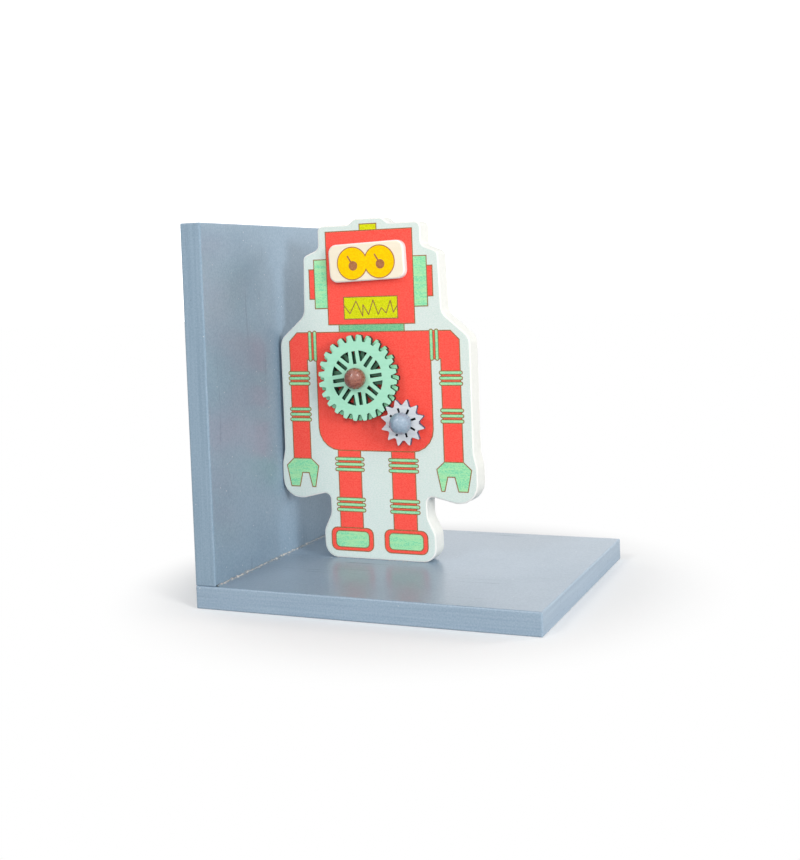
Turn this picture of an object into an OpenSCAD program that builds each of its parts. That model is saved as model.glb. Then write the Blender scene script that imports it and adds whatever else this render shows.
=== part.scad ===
// Robot bookend: an L-shaped stand of painted board, with a cut-out robot on its base
// and two meshing gears that turn on ball-headed pegs in the robot's chest.
// Millimetres, +Z up, origin under the middle of the base. The robot faces -Y.

/* [Bookend panels] */
// Length of the base, along X
base_l = 140; // [125:1:170]
// Depth of the base and of the upright, along Y
base_d = 120; // [100:1:150]
// Thickness of the base
base_t = 9; // [7:0.5:14]
// Height of the upright above the base
upright_h = 141; // [120:1:180]
// Thickness of the upright
upright_t = 9; // [7:0.5:14]
// Radius of the eased panel edges
panel_ease = 0.7; // [0.5:0.1:2]
// Leg length of the glue bead in the inner corner
bead_w = 1.1; // [0.6:0.1:2]

/* [Figure board] */
// Gap between the upright and the board's nearest edge
figure_gap = 0.2; // [0.1:0.1:20]
// From the base's front edge to the board's front face
figure_setback = 57.5; // [25:0.5:80]
// Thickness of the figure board
board_t = 9; // [7:0.5:14]
// Bare rim left round the printed sheet
sheet_inset = 0.6; // [0.2:0.1:1.5]
// Thickness of the printed face sheet
sheet_t = 0.2; // [0.1:0.05:0.5]
// Thickness of the printed ink
ink_t = 0.1; // [0.05:0.05:0.3]
// Gap between neighbouring inks
ink_gap = 0.02; // [0.01:0.01:0.05]
// Width of the drawn outlines
line_w = 0.4; // [0.2:0.05:0.5]

/* [Board border] */
// Border beside the head
head_border = 3.8; // [2:0.1:6]
// Border above the head
top_border = 2.7; // [1.5:0.1:5]
// Border above the antenna
antenna_border = 2.4; // [0.8:0.1:4]
// Border beside the ears
ear_border = 2.6; // [1.5:0.1:5]
// Border beside the arms and the legs
limb_border = 4.5; // [3:0.1:7]
// Border beside the hands
hand_border = 2.4; // [1.5:0.1:5]
// Border under the hands
hand_under = 5; // [3:0.1:8]
// Border beside the feet
foot_border = 3.5; // [2:0.1:6]
// Radius of the outline round the hands
hand_bend = 8; // [5:0.5:9]
// Radius of the outline's other wide bends
wide_bend = 6; // [4:0.5:7]
// Radius of the outline's tight corners
tight_bend = 2.6; // [1.5:0.1:2.8]
// Height over which the outline steps in from foot to leg
ankle_step = 7; // [5:0.1:9]
// Start of that step below the feet's tops
ankle_drop = 1.3; // [0.5:0.1:3]
// Rise of the outline from under the hand to the leg
hand_slope = 3; // [2:0.1:5]
// Height over which the outline steps in from hand to arm
wrist_step = 6; // [4:0.1:8]
// Start of that step below the hands' tops
wrist_drop = 2.3; // [1:0.1:4]
// Drop of the outline's shoulder corner
shoulder_drop = 2.9; // [1:0.1:5]
// Rise of the outline's cheek corner above the head's underside
cheek_rise = 4.1; // [2:0.1:6]
// How far the cheek corner stands out past the ears' border
cheek_out = 0.8; // [0.2:0.1:2]
// Rise of the outline's ear corner above the ears
ear_clear = 1.6; // [1:0.1:3]
// Height over which the outline steps in from ear to head
ear_step = 2.8; // [2:0.1:4]
// Flare of the outline below the antenna
antenna_flare = 2.8; // [1.5:0.1:4]

/* [Head] */
// Width of the head
head_w = 39; // [36:0.5:46]
// Height of the head
head_h = 38.7; // [34:0.1:46]
// Width of the antenna
antenna_w = 7.6; // [4:0.1:12]
// Height of the antenna
antenna_h = 2.6; // [1.5:0.1:6]
// Width of an ear
ear_w = 5.9; // [3:0.1:9]
// Height of an ear
ear_h = 20.4; // [14:0.1:22]
// Middle of the ears above the head's underside
ear_rise = 17.1; // [14:0.1:20]
// Width of an ear's outer cap
cap_w = 2.4; // [1:0.1:4]
// Height of an ear's outer cap
cap_h = 12.4; // [6:0.1:16]
// Width of the mouth
mouth_w = 24.2; // [16:0.1:30]
// Height of the mouth
mouth_h = 9.1; // [6:0.1:11]
// Middle of the mouth above the head's underside
mouth_rise = 6.8; // [6:0.1:9]
// Width of the neck
neck_w = 29.4; // [16:0.1:36]
// Height of the neck
neck_h = 3.1; // [2:0.1:6]

/* [Eye plate] */
// Width of the eye plate
plate_w = 33.8; // [28:0.1:36]
// Height of the eye plate
plate_h = 15.7; // [14:0.1:20]
// Thickness of the eye plate
plate_t = 3.2; // [2:0.1:5]
// Corner radius of the eye plate
plate_r = 3.4; // [2:0.1:6]
// Bevel round the front of the eye plate
plate_bevel = 0.5; // [0.2:0.1:1]
// Turn of the eye plate as it was glued on
plate_tilt = 1.9; // [-4:0.1:4]
// Middle of the eye plate above the head's underside
plate_rise = 25.8; // [24:0.1:28]
// Radius of an eye's dial
eye_r = 6.7; // [4:0.1:7.4]
// Distance between the two dials
eye_pitch = 12.2; // [8:0.1:15]
// Middle of the dials below the plate's middle
eye_drop = 0.4; // [0:0.1:0.8]
// Radius of a pupil
pupil_r = 1.95; // [1:0.05:3]
// Middle of a pupil beside the dial's middle
pupil_shift = 0.35; // [-1:0.05:1]
// Middle of a pupil below the dial's middle
pupil_drop = 1; // [0:0.05:2]
// Length of a dial's needle from the pupil's middle
needle_l = 4.6; // [3:0.1:6]
// Lean of the needles to the left of upright
needle_lean = 29; // [0:1:60]
// Width of the needles
needle_w = 0.7; // [0.3:0.05:1]

/* [Body and limbs] */
// Width of the torso
torso_w = 51.8; // [47:0.1:60]
// Height of the torso
torso_h = 49.6; // [48:0.1:60]
// Radius of the torso's lower corners
torso_r = 9.5; // [2:0.1:14]
// Width of an arm
arm_w = 8.2; // [6:0.1:11]
// Gap between torso and arm
arm_gap = 4.3; // [3.9:0.1:7]
// From the shoulders down to the hands
arm_l = 53.4; // [50:0.1:58]
// Slant cut off the outer shoulder corner
shoulder_cut = 3.7; // [1:0.1:6]
// From the shoulders down to the armpits
armpit_drop = 11.5; // [6:0.1:13]
// Width of a leg
leg_w = 10.4; // [7:0.1:13]
// Gap between the legs
leg_gap = 14; // [10:0.1:18]
// Height of the legs between feet and torso
leg_h = 32.6; // [31:0.1:38]
// Width of a foot
foot_w = 19.2; // [15.8:0.1:23]
// Height of a foot
foot_h = 9.7; // [8:0.1:12]
// Corner radius of a foot
foot_r = 2.7; // [1:0.1:3.8]
// Margin of the toe panel inside the foot, at the sides
toe_margin_x = 1.95; // [0.8:0.05:3]
// Margin of the toe panel inside the foot, above and below
toe_margin_y = 1.4; // [0.8:0.05:2.5]
// Corner radius of the toe panel
toe_r = 1.9; // [0.5:0.1:2.2]
// Height of the feet above the base
foot_gap = 3.3; // [1.5:0.1:6]

/* [Hands] */
// Width of a hand
hand_w = 15; // [12:0.1:16]
// Height of a hand
hand_h = 12; // [10:0.1:14]
// Drop from the wrist to the knuckles
knuckle_drop = 3.1; // [1:0.1:5]
// Width of the thumb's tip
thumb_w = 4; // [2:0.1:4.6]
// Width of the finger's tip
finger_w = 1.4; // [0.8:0.1:2.4]
// Width of the palm notch at its top
palm_w = 3.1; // [1.5:0.1:4]
// Height of the palm notch
palm_h = 5.9; // [3:0.1:6.4]
// Taper of the hand's outer edges towards the tips
hand_taper = 1.8; // [0.5:0.1:2.5]

/* [Ring bands] */
// Thickness of one ring
ring_t = 1.4; // [0.8:0.1:1.8]
// Spacing of the rings in a stack
ring_pitch = 2.22; // [2.15:0.05:2.8]
// Rings in a stack
ring_count = 3; // [2:1:4]
// Overhang of the rings past the arm on each side
arm_ring_over = 0.85; // [0.4:0.05:1.5]
// Overhang of the rings past the leg on each side
leg_ring_over = 1.4; // [0.4:0.05:2.5]
// From the shoulders down to each stack of arm rings
arm_ring_drops = [17.1, 32.4]; // [15:0.1:40]
// From the torso's underside down to each stack of leg rings
leg_ring_drops = [3.6, 20.6]; // [2:0.1:24]
// Width of a shoulder bar
bar_w = 1.45; // [0.8:0.05:1.7]
// Spacing of the two bars on a shoulder
bar_pitch = 2.35; // [2.1:0.05:3]
// Shift of the bars from the middle of the arm gap towards the torso
bar_shift = 0.55; // [0:0.05:1]
// Overhang of the bars above the shoulder
bar_over = 0.6; // [0.3:0.1:1.5]

/* [Large gear] */
// Teeth of the large gear
big_teeth = 24; // [24:12:24]
// Radius over the large gear's teeth
big_tip_r = 17.8; // [17:0.1:19]
// Depth of the large gear's teeth
big_tooth_h = 2.6; // [2:0.1:3]
// Width of a large tooth at its tip
big_tip_w = 1.7; // [1.2:0.1:2]
// Width of a large tooth at its foot
big_foot_w = 2.9; // [2.4:0.1:3.2]
// Rounding of the large gear's tooth tips
big_tip_ease = 0.45; // [0.1:0.05:0.6]
// Thickness of one of the two layers
layer_t = 1.9; // [1.5:0.1:3]
// Turn of the back layer, clockwise from the front
back_turn = 10; // [0:0.5:15]
// Inner radius of the rim
rim_r = 11.4; // [10.5:0.1:12.5]
// Radius at which the windows between the spokes start
window_r = 7.1; // [6.6:0.1:8.5]
// Rounding of a window's inner corner
window_ease = 0.35; // [0.1:0.05:0.6]
// Spokes of the large gear
spokes = 8; // [6:1:8]
// Width of the double spokes at the rim
spoke_w = 4.8; // [3.4:0.1:5]
// Width of the slot along each spoke
slot_w = 1.5; // [0.6:0.1:1.6]
// Radius at which the slots start
slot_r = 5.9; // [5.2:0.1:7]
// Solid length between a slot and the rim
slot_end = 0.3; // [0.2:0.1:1.5]
// Turn of the spokes from the nearest tooth
spoke_turn = -2; // [-7:0.5:7]
// Middle of the large gear beside the figure's centre line
big_x = -5; // [-7:0.1:-3]
// Middle of the large gear above the torso's underside
big_rise = 30.8; // [28:0.1:32]

/* [Small gear] */
// Teeth of the small gear
small_teeth = 12; // [12:12:12]
// Radius over the small gear's teeth
small_tip_r = 9.6; // [9:0.1:10.2]
// Depth of the small gear's teeth
small_tooth_h = 2.3; // [1.8:0.1:2.6]
// Width of a small tooth at its tip
small_tip_w = 0.5; // [0.3:0.1:0.8]
// Width of a small tooth at its foot
small_foot_w = 3; // [2.4:0.1:3.1]
// Rounding of the small gear's tooth tips
small_tip_ease = 0.2; // [0.05:0.05:0.3]
// Thickness of the small gear
small_t = 1.8; // [1.4:0.1:3]
// Blind vents round the small gear's hub
vents = 8; // [6:1:10]
// Width of a vent
vent_w = 0.85; // [0.4:0.05:1]
// Depth of a vent
vent_h = 1.2; // [0.4:0.1:1.3]
// Radius at which the vents start
vent_in_r = 4; // [3.4:0.1:4.6]
// Radius at which the vents end
vent_out_r = 6.1; // [5.4:0.1:6.3]
// How far the small teeth reach into the large gear's gaps
mesh_depth = 0.7; // [0.4:0.1:1]
// Direction from the large gear to the small one
mesh_angle = -43; // [-50:1:-38]

/* [Pegs and spacers] */
// Diameter of a peg's ball head
ball_d = 9; // [8.5:0.1:11]
// Height of the ball's middle above its flat seat
ball_rise = 1.8; // [1:0.1:3]
// Diameter of a peg's shank
peg_d = 4; // [3:0.1:4.4]
// Running clearance round a shank in its gear
peg_clear = 0.05; // [0.02:0.01:0.1]
// Board left behind a peg's hole
peg_skin = 2; // [1:0.5:4]
// Free depth behind a peg's end
peg_end_gap = 0.3; // [0.1:0.1:1]
// Diameter of the spacers behind the gears
spacer_d = 8; // [6.5:0.5:9]
// Thickness of the large gear's spacer
spacer_t = 0.9; // [0.6:0.1:2]
// Running gap before and behind a gear
face_gap = 0.3; // [0.2:0.05:0.5]

/* [Screws] */
// Diameter of the screws
screw_d = 3; // [2.5:0.5:4]
// Length of the screws
screw_l = 25; // [20:1:30]
// Diameter of the screw heads
screw_head_d = 6; // [5.6:0.1:8]
// Depth of the heads below the base's underside
screw_sink = 0.4; // [0.3:0.1:1]
// Clearance round a screw
screw_clear = 0.05; // [0.03:0.01:0.1]
// Length of a screw's point
screw_point = 3; // [2:0.5:4]
// Diameter of a screw's blunt tip
screw_tip_d = 0.5; // [0.3:0.1:1]
// Width of the cross slots in a screw head
drive_w = 0.9; // [0.6:0.1:1.2]
// Depth of the cross slots in a screw head
drive_h = 1; // [0.6:0.1:1.2]
// Distance between the upright's two screws
upright_screw_pitch = 80; // [60:1:90]

/* [Hidden] */

$fn = 48;
// Sides of the printed arcs and of the drawn lines' ends
print_fn = 16;
line_fn = 8;
// Steps along a rounded corner and along a tooth's corner
corner_steps = 5;
tooth_steps = 3;
// How far a cutting solid runs past the face it cuts
over = 1;
// Flat left at the tip of a bar's round end
end_flat = 0.02;

panel_colour = "#8fa3ba";
white = "#f3f1ec";
pale = "#d4e4e1";
red = "#f4483e";
green = "#86dfaa";
deep_green = "#58c396";
yellow = "#d6e01c";
brown = "#9c6b45";
cream = "#f8efd8";
gold = "#fccb08";
mint = "#a8e7cb";
silver = "#d2d5df";
peg_brown = "#96584c";
peg_grey = "#9eb0c4";
steel = "#b9bcc0";
birch = "#dcc59c";

// Places across the figure, from its centre line
arm_in = torso_w/2 + arm_gap;
arm_x = arm_in + arm_w/2;
arm_out = arm_in + arm_w;
leg_x = (leg_gap + leg_w)/2;
ear_x = head_w/2 + ear_w/2;
cap_x = head_w/2 + ear_w + cap_w/2;
bar_x = torso_w/2 + arm_gap/2 - bar_shift;

// Levels above the base
foot_top = foot_gap + foot_h;
torso_low = foot_top + leg_h;
torso_top = torso_low + torso_h;
armpit = torso_top - armpit_drop;
hand_top = torso_top - arm_l;
hand_low = hand_top - hand_h;
head_low = torso_top + neck_h;
head_top = head_low + head_h;
antenna_top = head_top + antenna_h;
ear_mid = head_low + ear_rise;
mouth_mid = head_low + mouth_rise;
plate_mid = head_low + plate_rise;

// Edges of the board
foot_edge = leg_x + foot_w/2 + foot_border;
leg_edge = leg_x + leg_w/2 + limb_border;
hand_edge = arm_x + hand_w/2 + hand_border;
arm_edge = arm_out + limb_border;
ear_edge = cap_x + cap_w/2 + ear_border;
head_edge = head_w/2 + head_border;
hand_base = hand_low - hand_under;
crown = head_top + top_border;
antenna_edge = antenna_w/2 + antenna_border;
cheek_edge = ear_edge + cheek_out;
board_reach = max(hand_edge, arm_edge, cheek_edge, foot_edge);

// Right half of the board's outline, from the base up: across, level, corner radius
ankle = foot_top - ankle_drop;
wrist = hand_top - wrist_drop;
ear_top = ear_mid + ear_h/2 + ear_clear;
board_half = [
    [foot_edge, 0, wide_bend],
    [foot_edge, ankle, wide_bend],
    [leg_edge, ankle + ankle_step, wide_bend],
    [leg_edge, hand_base + hand_slope, tight_bend],
    [arm_x, hand_base, hand_bend],
    [hand_edge, hand_base, hand_bend],
    [hand_edge, wrist, hand_bend],
    [arm_edge, wrist + wrist_step, hand_bend],
    [arm_edge, torso_top - shoulder_drop, wide_bend],
    [cheek_edge, head_low + cheek_rise, wide_bend],
    [ear_edge, ear_top, tight_bend],
    [head_edge, ear_top + ear_step, tight_bend],
    [head_edge, crown, tight_bend],
    [antenna_edge + antenna_flare, crown, tight_bend],
    [antenna_edge, antenna_top + antenna_border, tight_bend]
];

// Gears, in the plane of the figure: middles, turns and heights above the wood
ink_face = sheet_t + ink_t;
big_at = [big_x, torso_low + big_rise];
gear_reach = big_tip_r + small_tip_r - mesh_depth;
small_at = big_at + gear_reach*[cos(mesh_angle), sin(mesh_angle)];
big_turn = mesh_angle + 180/big_teeth;
small_turn = mesh_angle + 180;
back_z = ink_face + spacer_t + face_gap;
front_z = back_z + layer_t;
big_face = front_z + layer_t;
small_z = front_z + face_gap;
small_face = small_z + small_t;
peg_hole_h = board_t - peg_skin;

// Places of the figure and of the screws
figure_x = upright_t + figure_gap + board_reach - base_l/2;
face_y = figure_setback - base_d/2;
upright_x = (upright_t - base_l)/2;
screw_head_h = (screw_head_d - screw_d)/2;
upright_screw_at = [for (s = [-1, 1]) [upright_x, s*upright_screw_pitch/2]];
figure_screw_at = [for (s = [-1, 1]) [figure_x + s*leg_x, face_y + board_t/2]];

// Corner rounding: the arc that replaces corner p between its neighbours a and b
function unit(v) = v/norm(v);
function turn_between(from, to) = (to - from + 540) % 360 - 180;
function corner_arc(p, a, b, r, steps) =
    let (
        u = unit(a - p),
        v = unit(b - p),
        half = acos(u*v)/2,
        middle = p + unit(u + v)*r/sin(half),
        first = p + u*r/tan(half) - middle,
        last = p + v*r/tan(half) - middle,
        start = atan2(first.y, first.x),
        sweep = turn_between(start, atan2(last.y, last.x))
    )
    [for (i = [0:steps]) middle + r*[cos(start + sweep*i/steps), sin(start + sweep*i/steps)]];
function flat(c) = [c.x, c.y];
function rounded(loop, steps = corner_steps) =
    let (n = len(loop))
    [for (i = [0:n - 1]) let (p = flat(loop[i]), a = flat(loop[(i + n - 1) % n]), b = flat(loop[(i + 1) % n]))
        each loop[i].z > 0 ? corner_arc(p, a, b, loop[i].z, steps) : [p]];
function both_sides(half) =
    concat(half, [for (i = [len(half) - 1:-1:0]) [-half[i].x, half[i].y, half[i].z]]);

// Gear outline: four corners a tooth, with the first tooth's middle on +X
function at_angle(r, a, ease) = [r*cos(a), r*sin(a), ease];
function tooth_ring(teeth, tip_r, tooth_h, tip_w, foot_w, ease) =
    let (
        low_r = tip_r - tooth_h,
        foot_a = asin(foot_w/2/low_r),
        tip_a = asin(tip_w/2/tip_r)
    )
    rounded([for (i = [0:teeth - 1]) let (a = i*360/teeth) each [
        at_angle(low_r, a - foot_a, ease),
        at_angle(tip_r, a - tip_a, ease),
        at_angle(tip_r, a + tip_a, ease),
        at_angle(low_r, a + foot_a, ease)
    ]], tooth_steps);

// Frames and repeats

// The figure's drawing plane: across, up, and out of the front face towards the viewer
module on_figure() {
    translate([figure_x, face_y, base_t]) rotate([90, 0, 0]) children();
}

module on_plate(z = 0) {
    on_figure() translate([0, plate_mid, ink_face + z]) rotate([0, 0, plate_tilt]) children();
}

module left_and_right() {
    for (side = [0, 1]) mirror([side, 0, 0]) children();
}

module at_places(places) {
    for (p = places) translate(p) children();
}

// Panels

module eased_square(size, r) {
    square(size - [2*r, 0], center = true);
    square(size - [0, 2*r], center = true);
    for (sx = [-1, 1], sy = [-1, 1]) translate([sx*(size.x/2 - r), sy*(size.y/2 - r)]) circle(r);
}

// A block with all twelve edges eased, standing on its own middle
module eased_block(size, r) {
    translate([0, 0, size.z/2]) intersection() {
        linear_extrude(size.z, center = true) eased_square([size.x, size.y], r);
        rotate([90, 0, 0]) linear_extrude(size.y, center = true) eased_square([size.x, size.z], r);
        rotate([90, 0, 90]) linear_extrude(size.x, center = true) eased_square([size.y, size.z], r);
    }
}

// Room for one screw from below: head sink, clearance and pilot hole
module screw_room() {
    head_r = screw_head_d/2 + screw_clear;
    shank_r = screw_d/2 + screw_clear;
    translate([0, 0, -over]) cylinder(h = screw_sink + over, r = head_r);
    translate([0, 0, screw_sink]) cylinder(h = screw_head_h, r1 = head_r, r2 = shank_r);
    cylinder(h = screw_sink + screw_l + screw_clear, r = shank_r);
}

module base_panel() {
    color(panel_colour) difference() {
        eased_block([base_l, base_d, base_t], panel_ease);
        at_places(upright_screw_at) screw_room();
        at_places(figure_screw_at) screw_room();
    }
}

module upright_panel() {
    color(panel_colour) difference() {
        translate([upright_x, 0, base_t]) eased_block([upright_t, base_d, upright_h], panel_ease);
        at_places(upright_screw_at) screw_room();
    }
}

module glue_bead() {
    inner_face = upright_x + upright_t/2;
    bead_l = base_d - 2*panel_ease;
    color(birch) translate([inner_face, bead_l/2, base_t]) rotate([90, 0, 0])
        linear_extrude(bead_l) polygon([[0, 0], [bead_w, 0], [0, panel_ease + bead_w]]);
}

module screw() {
    tip_z = screw_sink + screw_l;
    difference() {
        union() {
            translate([0, 0, screw_sink])
                cylinder(h = screw_head_h, r1 = screw_head_d/2, r2 = screw_d/2);
            translate([0, 0, screw_sink + screw_head_h])
                cylinder(h = screw_l - screw_head_h - screw_point, d = screw_d);
            translate([0, 0, tip_z - screw_point])
                cylinder(h = screw_point, d1 = screw_d, d2 = screw_tip_d);
        }
        for (a = [0, 90]) translate([0, 0, screw_sink]) rotate([0, 0, a])
            cube([screw_d, drive_w, 2*drive_h], center = true);
    }
}

module upright_screws() {
    color(steel) at_places(upright_screw_at) screw();
}

module figure_screws() {
    color(steel) at_places(figure_screw_at) screw();
}

// Figure board and its printed face

module board_outline() {
    polygon(rounded(both_sides(board_half)));
}

// Room for the two pegs through the sheet and into the board
module peg_rooms() {
    for (at = [big_at, small_at]) translate([at.x, at.y, -peg_hole_h])
        cylinder(h = peg_hole_h + ink_face + over, d = peg_d + 2*peg_clear);
}

module figure_board() {
    color(white) difference() {
        on_figure() difference() {
            translate([0, 0, -board_t]) linear_extrude(board_t) board_outline();
            peg_rooms();
        }
        at_places(figure_screw_at) screw_room();
    }
}

module face_sheet() {
    color(pale) on_figure() difference() {
        linear_extrude(sheet_t) offset(delta = -sheet_inset) board_outline();
        peg_rooms();
    }
}

module block(w, h, x, y) {
    translate([x, y]) square([w, h], center = true);
}

module soft_block(w, h, x, y, r) {
    translate([x, y]) eased_square([w, h], r, $fn = print_fn);
}

module head_shape() {
    block(head_w, head_h, 0, head_low + head_h/2);
}

module ear_cap_shape() {
    block(cap_w, cap_h, cap_x, ear_mid);
}

module ear_shape() {
    block(ear_w, ear_h, ear_x, ear_mid);
}

module antenna_shape() {
    block(antenna_w, antenna_h, 0, head_top + antenna_h/2);
}

module mouth_shape() {
    block(mouth_w, mouth_h, 0, mouth_mid);
}

module neck_shape() {
    block(neck_w, neck_h, 0, torso_top + neck_h/2);
}

// Torso, shoulders and arms in one outline
module body_shape() {
    polygon(rounded(both_sides([
        [torso_w/2, torso_low, torso_r],
        [torso_w/2, armpit, 0],
        [arm_in, armpit, 0],
        [arm_in, hand_top, 0],
        [arm_out, hand_top, 0],
        [arm_out, torso_top - shoulder_cut, 0],
        [arm_out - shoulder_cut, torso_top, 0]
    ])));
}

module leg_shape() {
    block(leg_w, leg_h, leg_x, foot_top + leg_h/2);
}

module foot_shape() {
    soft_block(foot_w, foot_h, leg_x, foot_gap + foot_h/2, foot_r);
}

module toe_shape() {
    soft_block(foot_w - 2*toe_margin_x, foot_h - 2*toe_margin_y, leg_x, foot_gap + foot_h/2, toe_r);
}

// Claw hand below the arm, with its thumb on the outside
module hand_shape() {
    side = hand_w/2;
    tip = side - hand_taper;
    palm = (finger_w - thumb_w)/2;
    translate([arm_x, hand_top]) polygon([
        [-arm_w/2, 0], [arm_w/2, 0],
        [side, -knuckle_drop],
        [tip, -hand_h], [tip - thumb_w, -hand_h],
        [palm + palm_w/2, palm_h - hand_h], [palm - palm_w/2, palm_h - hand_h],
        [finger_w - tip, -hand_h], [-tip, -hand_h],
        [-side, -knuckle_drop]
    ]);
}

module ring_stack(w, x, top) {
    for (i = [0:ring_count - 1]) soft_block(w, ring_t, x, top - i*ring_pitch, (ring_t - end_flat)/2);
}

module limb_rings() {
    for (drop = arm_ring_drops) ring_stack(arm_w + 2*arm_ring_over, arm_x, torso_top - drop);
    for (drop = leg_ring_drops) ring_stack(leg_w + 2*leg_ring_over, leg_x, torso_low - drop);
}

module shoulder_bars() {
    bar_h = armpit_drop + 2*bar_over;
    for (s = [-1, 1]) soft_block(bar_w, bar_h, bar_x + s*bar_pitch/2, torso_top + bar_over - bar_h/2,
        (bar_w - end_flat)/2);
}

// Shapes that lie on the red ones
module green_shapes() {
    left_and_right() {
        ear_shape();
        hand_shape();
        toe_shape();
        limb_rings();
        shoulder_bars();
    }
}

module drawn_line() {
    difference() {
        offset(delta = line_w/2) children();
        offset(delta = -line_w/2) children();
    }
}

// The outlines of all shapes: those of the red shapes stop where a green shape covers them
module line_shapes() {
    difference() {
        union() {
            drawn_line() head_shape();
            drawn_line() body_shape();
            drawn_line() neck_shape();
            drawn_line() antenna_shape();
            drawn_line() mouth_shape();
            left_and_right() {
                drawn_line() ear_cap_shape();
                drawn_line() leg_shape();
                drawn_line() foot_shape();
            }
        }
        green_shapes();
    }
    left_and_right() {
        drawn_line() ear_shape();
        drawn_line() hand_shape();
        drawn_line() toe_shape();
        drawn_line() limb_rings();
        drawn_line() shoulder_bars();
    }
    mouth_trace();
}

// A stroke with round ends along a list of points
module stroke(points, w) {
    for (p = points) translate(p) circle(d = w, $fn = line_fn);
    for (i = [0:len(points) - 2]) let (run = points[i + 1] - points[i])
        translate(points[i]) rotate(atan2(run.y, run.x)) translate([0, -w/2]) square([norm(run), w]);
}

// The jagged trace across the mouth, in shares of its width and height
module mouth_trace() {
    shares = [
        [-0.5, 0.12], [-0.39, -0.25], [-0.27, 0.31], [-0.15, -0.38], [-0.14, 0.14], [-0.04, -0.31],
        [0.05, 0.34], [0.14, -0.31], [0.2, -0.01], [0.29, -0.26], [0.37, 0.31], [0.42, -0.23], [0.5, 0.08]
    ];
    translate([0, mouth_mid]) stroke([for (s = shares) [s.x*mouth_w, s.y*mouth_h]], line_w);
}

// One ink on the face sheet, kept clear of its neighbours and of the pegs
module face_ink() {
    on_figure() difference() {
        translate([0, 0, sheet_t]) linear_extrude(ink_t) offset(delta = -ink_gap/2) children();
        peg_rooms();
    }
}

module red_ink() {
    color(red) face_ink() difference() {
        union() {
            head_shape();
            body_shape();
            left_and_right() {
                ear_cap_shape();
                leg_shape();
                foot_shape();
            }
        }
        neck_shape();
        mouth_shape();
        green_shapes();
        line_shapes();
    }
}

module green_ink() {
    color(green) face_ink() difference() {
        green_shapes();
        line_shapes();
    }
}

module neck_ink() {
    color(deep_green) face_ink() difference() {
        neck_shape();
        line_shapes();
    }
}

module yellow_ink() {
    color(yellow) face_ink() difference() {
        union() {
            antenna_shape();
            mouth_shape();
        }
        line_shapes();
    }
}

module line_ink() {
    color(brown) face_ink() line_shapes();
}

// Eye plate

module plate_outline(inset = 0) {
    half = [
        [plate_w/2 - inset, -plate_h/2 + inset, plate_r - inset],
        [plate_w/2 - inset, plate_h/2 - inset, plate_r - inset]
    ];
    polygon(rounded(both_sides(half)));
}

module eye_plate() {
    color(cream) on_plate() hull() {
        linear_extrude(plate_t - plate_bevel) plate_outline();
        linear_extrude(plate_t) plate_outline(plate_bevel);
    }
}

module both_eyes() {
    for (s = [-1, 1]) translate([s*eye_pitch/2, -eye_drop]) children();
}

module dials() {
    both_eyes() circle(eye_r);
}

// Pupils, needles and rims of the two dials
module eye_drawing() {
    pupil_at = [pupil_shift, -pupil_drop];
    needle_end = pupil_at + needle_l*[-sin(needle_lean), cos(needle_lean)];
    drawn_line() dials();
    both_eyes() {
        translate(pupil_at) circle(pupil_r);
        stroke([pupil_at, needle_end], needle_w);
    }
}

module plate_ink() {
    on_plate(plate_t) linear_extrude(ink_t) offset(delta = -ink_gap/2) children();
}

module eye_gold_ink() {
    color(gold) plate_ink() difference() {
        dials();
        eye_drawing();
    }
}

module eye_brown_ink() {
    color(brown) plate_ink() eye_drawing();
}

// Gears

// One window between two spokes, pointing along +X
module spoke_window() {
    edge_a = 180/spokes - asin(spoke_w/2/rim_r);
    half_corner = atan2(rim_r*sin(edge_a), rim_r*cos(edge_a) - window_r);
    corner_r = window_r + window_ease - window_ease/sin(half_corner);
    arc = [for (i = [0:corner_steps]) at_angle(rim_r, edge_a*(2*i/corner_steps - 1), 0)];
    polygon(rounded(concat([[corner_r, 0, window_ease]], arc)));
}

module spoke_slot() {
    translate([slot_r, -slot_w/2]) square([rim_r - slot_end - slot_r, slot_w]);
}

// One layer of the large gear, with a tooth's middle on +X
module gear_layer() {
    difference() {
        linear_extrude(layer_t) difference() {
            polygon(tooth_ring(big_teeth, big_tip_r, big_tooth_h, big_tip_w, big_foot_w, big_tip_ease));
            for (i = [0:spokes - 1]) rotate(spoke_turn + i*360/spokes) {
                spoke_slot();
                rotate(180/spokes) spoke_window();
            }
        }
        translate([0, 0, -over]) cylinder(h = layer_t + 2*over, d = peg_d + 2*peg_clear);
    }
}

module big_gear_front() {
    color(mint) on_figure() translate([big_at.x, big_at.y, front_z]) rotate(big_turn) gear_layer();
}

module big_gear_back() {
    color(mint) on_figure() translate([big_at.x, big_at.y, back_z])
        rotate(big_turn - back_turn) gear_layer();
}

module small_gear() {
    color(silver) on_figure() translate([small_at.x, small_at.y, small_z]) rotate(small_turn) difference() {
        linear_extrude(small_t) polygon(
            tooth_ring(small_teeth, small_tip_r, small_tooth_h, small_tip_w, small_foot_w, small_tip_ease)
        );
        for (i = [0:vents - 1]) rotate(180/small_teeth + i*360/vents)
            translate([vent_in_r, -vent_w/2, small_t - vent_h])
                cube([vent_out_r - vent_in_r, vent_w, vent_h + over]);
        translate([0, 0, -over]) cylinder(h = small_t + 2*over, d = peg_d + 2*peg_clear);
    }
}

// Pegs and spacers

// A ball-headed peg whose flat seat is at height z above the wood
module peg(at, z) {
    shank_low = peg_end_gap - peg_hole_h;
    on_figure() translate([at.x, at.y, 0]) {
        translate([0, 0, shank_low]) cylinder(h = z + ball_rise - shank_low, d = peg_d);
        difference() {
            translate([0, 0, z + ball_rise]) sphere(d = ball_d);
            translate([0, 0, z - ball_d]) cylinder(h = ball_d, d = 2*ball_d);
        }
    }
}

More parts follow.
